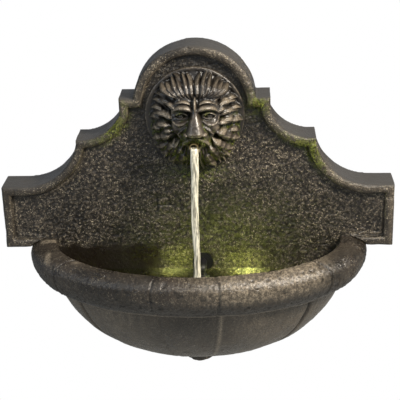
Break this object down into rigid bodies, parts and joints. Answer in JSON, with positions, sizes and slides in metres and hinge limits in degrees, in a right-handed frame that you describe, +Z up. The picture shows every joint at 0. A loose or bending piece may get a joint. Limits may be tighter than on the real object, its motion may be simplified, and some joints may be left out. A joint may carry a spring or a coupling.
{
  "type": "garden wall fountain",
  "caption": "Wall-hung garden fountain: arched moulded back panel, lion mask spout, half-round lobed basin, and a hidden pump circuit with submerged spotlights.",
  "frame": {"origin": "on the wall plane, midway between the two wall screws of the hanging cleat", "axes": "+X to the right seen from the front, +Y into the wall (the front faces -Y), +Z up"},
  "size_m": [0.75, 0.2745, 0.6229],
  "materials": {
    "cast_resin": "dark bronze patina over a pebbled cast surface, mossy where wet",
    "mask_resin": "rubbed dark bronze, satin, mossy at the mouth",
    "brass": "machined brass",
    "steel": "galvanised and stainless fixings",
    "black_rubber": "moulded rubber",
    "hose_rubber": "smooth hose",
    "pump_plastic": "moulded, fine grain",
    "impeller_plastic": "moulded",
    "magnet": "sintered ferrite",
    "sponge": "open cell foam",
    "spot_shell": "moulded, satin",
    "spot_lens": "clear",
    "led_board": "white board with yellow chips"
  },
  "bodies": {
    "fountain": {"back_panel": "cast_resin", "basin": "cast_resin", "basin_seal": "black_rubber", "basin_bolts": "steel", "basin_washers": "steel", "wall_cleat": "steel", "panel_cleat": "steel", "cleat_screws": "steel", "lion_mask": "mask_resin", "mask_screws": "steel", "spout_pipe": "brass", "spout_washer": "black_rubber", "spout_nut": "brass", "spout_elbow": "brass", "bulkhead_fitting": "pump_plastic", "bulkhead_seal": "black_rubber", "bulkhead_nut": "pump_plastic", "riser_hose": "hose_rubber", "lower_hose": "hose_rubber", "hose_clamps": "steel", "pump_housing": "pump_plastic", "pump_feet": "black_rubber", "cable_gland": "black_rubber", "pump_volute": "pump_plastic", "shaft_bushes": "black_rubber", "impeller_shaft": "steel", "outlet_nozzle": "pump_plastic", "drain_insert": "brass", "drain_washer": "black_rubber", "spot_left_bracket": "steel", "spot_left_pins": "steel", "spot_right_bracket": "steel", "spot_right_pins": "steel"},
    "impeller": {"impeller": "impeller_plastic", "impeller_magnet": "magnet"},
    "flow_dial": {"flow_dial": "pump_plastic"},
    "strainer": {"pump_strainer": "pump_plastic", "strainer_sponge": "sponge"},
    "spot_left": {"spot_left_housing": "spot_shell", "spot_left_bezel": "spot_shell", "spot_left_lens": "spot_lens", "spot_left_board": "led_board"},
    "spot_right": {"spot_right_housing": "spot_shell", "spot_right_bezel": "spot_shell", "spot_right_lens": "spot_lens", "spot_right_board": "led_board"},
    "drain_plug": {"drain_plug": "brass"}
  },
  "joints": [
    {"name": "impeller_spin", "type": "hinge", "parent": "fountain", "child": "impeller", "pos_m": [0.008, -0.089, -0.297], "axis": [1, 0, 0], "continuous": true},
    {"name": "flow_dial_turn", "type": "hinge", "parent": "fountain", "child": "flow_dial", "pos_m": [0.008, -0.101, -0.259], "axis": [0, -1, 0], "range_deg": [0, 90]},
    {"name": "strainer_slide", "type": "slide", "parent": "fountain", "child": "strainer", "axis": [-1, 0, 0], "range_m": [0, 0.03]},
    {"name": "spot_left_tilt", "type": "hinge", "parent": "fountain", "child": "spot_left", "pos_m": [-0.083, -0.084, -0.304], "axis": [1, 0, 0], "range_deg": [-25, 65]},
    {"name": "spot_right_tilt", "type": "hinge", "parent": "fountain", "child": "spot_right", "pos_m": [0.083, -0.084, -0.304], "axis": [1, 0, 0], "range_deg": [-25, 65]},
    {"name": "drain_plug_draw", "type": "slide", "parent": "fountain", "child": "drain_plug", "axis": [0, 0, -1], "range_m": [0, 0.03]}
  ]
}
